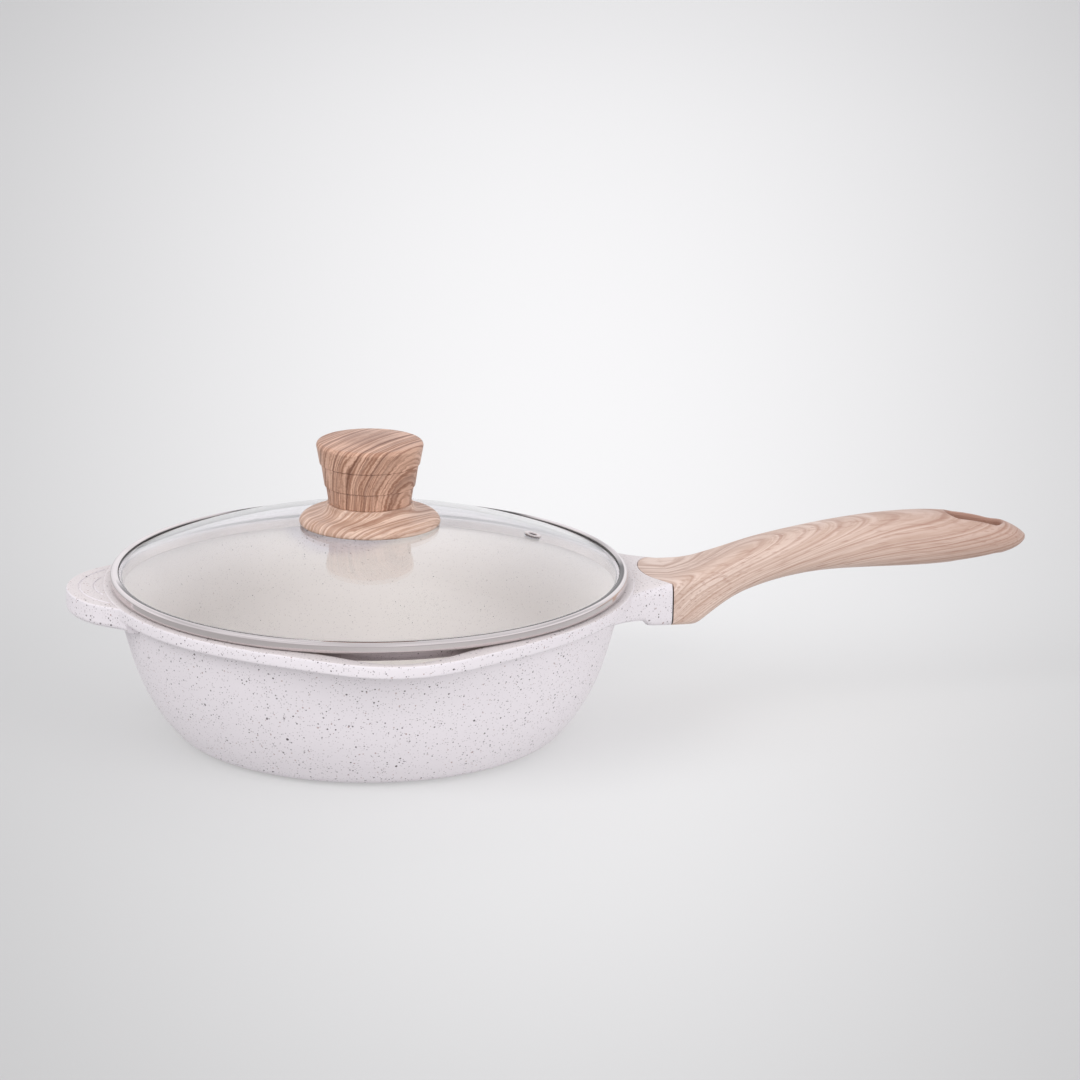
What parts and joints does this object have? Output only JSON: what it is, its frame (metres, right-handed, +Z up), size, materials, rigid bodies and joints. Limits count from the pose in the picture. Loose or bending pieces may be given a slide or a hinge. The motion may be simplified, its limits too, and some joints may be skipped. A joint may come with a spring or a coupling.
{
  "type": "saucepan with glass lid",
  "caption": "Round cast saucepan with flared wall, rolled pouring lips, helper ear and long wood-look handle, closed by a domed glass lid with steel band, steam vent and turned knob.",
  "frame": {"origin": "centre of the base's flat underside, on the bowl's axis", "axes": "+Z up along the bowl's axis, +X along the handle, +Y across to the pouring lip on the left of someone holding the handle and facing the pan"},
  "size_m": [0.4668, 0.2664, 0.1409],
  "materials": {
    "speckled_coating": "cast, under a matt stone-look coating, pale with dark and brown specks",
    "wood_look_pale": "matt moulding with a pale wood-grain film",
    "wood_look_dark": "matt moulding with a darker wood-grain film",
    "band_steel": "polished stainless steel",
    "plate_steel": "turned stainless steel",
    "screw_steel": "zinc-plated steel",
    "insert_brass": "plain turned brass",
    "lid_glass": "clear tempered glass",
    "black_rubber": "matt black silicone",
    "grey_rubber": "dark grey lining",
    "clear_rubber": "milky clear silicone"
  },
  "bodies": {
    "pan": {"pan_body": "speckled_coating", "base_plate": "plate_steel", "handle": "wood_look_pale", "handle_gasket": "black_rubber", "handle_screw": "screw_steel", "handle_spring_washer": "screw_steel", "handle_washer": "screw_steel"},
    "lid": {"glass_dome": "lid_glass", "lid_band": "band_steel", "band_seal": "grey_rubber", "vent_eyelet": "band_steel", "vent_washer": "band_steel", "knob_foot": "wood_look_dark", "knob_pad": "clear_rubber", "knob_grip": "wood_look_dark", "knob_insert": "insert_brass", "knob_screw": "screw_steel", "knob_washer": "screw_steel", "knob_seal": "clear_rubber"}
  },
  "joints": [
    {"name": "lid_lift", "type": "slide", "parent": "pan", "child": "lid", "axis": [0, 0, 1], "range_m": [0, 0.12]}
  ]
}
